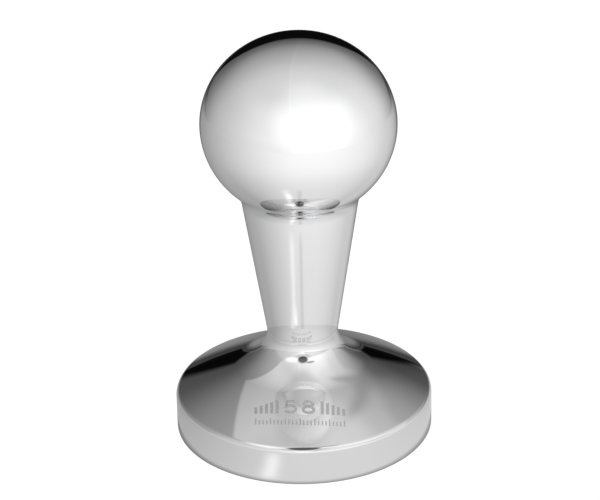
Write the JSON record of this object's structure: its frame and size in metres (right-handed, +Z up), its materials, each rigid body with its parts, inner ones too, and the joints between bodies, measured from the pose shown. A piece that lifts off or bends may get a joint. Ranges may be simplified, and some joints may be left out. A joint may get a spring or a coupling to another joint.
{
  "type": "espresso tamper",
  "caption": "Polished metal espresso tamper: round flat tamping base with a flared neck, and a tapered stem ending in a ball grip that screws onto it.",
  "frame": {"origin": "centre of the flat tamping face, which the tool stands on", "axes": "+Z up the turning axis, from the tamping face to the ball; the etched size mark is on the -Y side"},
  "size_m": [0.058, 0.058, 0.0934],
  "materials": {
    "polished_steel": "mirror polished stainless steel",
    "polished_aluminium": "mirror polished aluminium",
    "stud_steel": "rolled thread, plain stainless steel",
    "seal_rubber": "black nitrile rubber"
  },
  "bodies": {
    "base": {"tamping_base": "polished_steel"},
    "seal": {"joint_o_ring": "seal_rubber"},
    "handle": {"ball_handle": "polished_aluminium", "joining_stud": "stud_steel"}
  },
  "joints": [
    {"name": "handle_lift", "type": "slide", "parent": "base", "child": "seal", "axis": [0, 0, 1], "range_m": [0, 0.01125]},
    {"name": "handle_spin", "type": "hinge", "parent": "seal", "child": "handle", "pos_m": [0, 0, 0.0234], "axis": [0, 0, 1], "range_deg": [0, 3240.5]}
  ],
  "couplings": [
    {"joint": "handle_spin", "follows": "handle_lift", "rad_per_m": 5026.5}
  ]
}
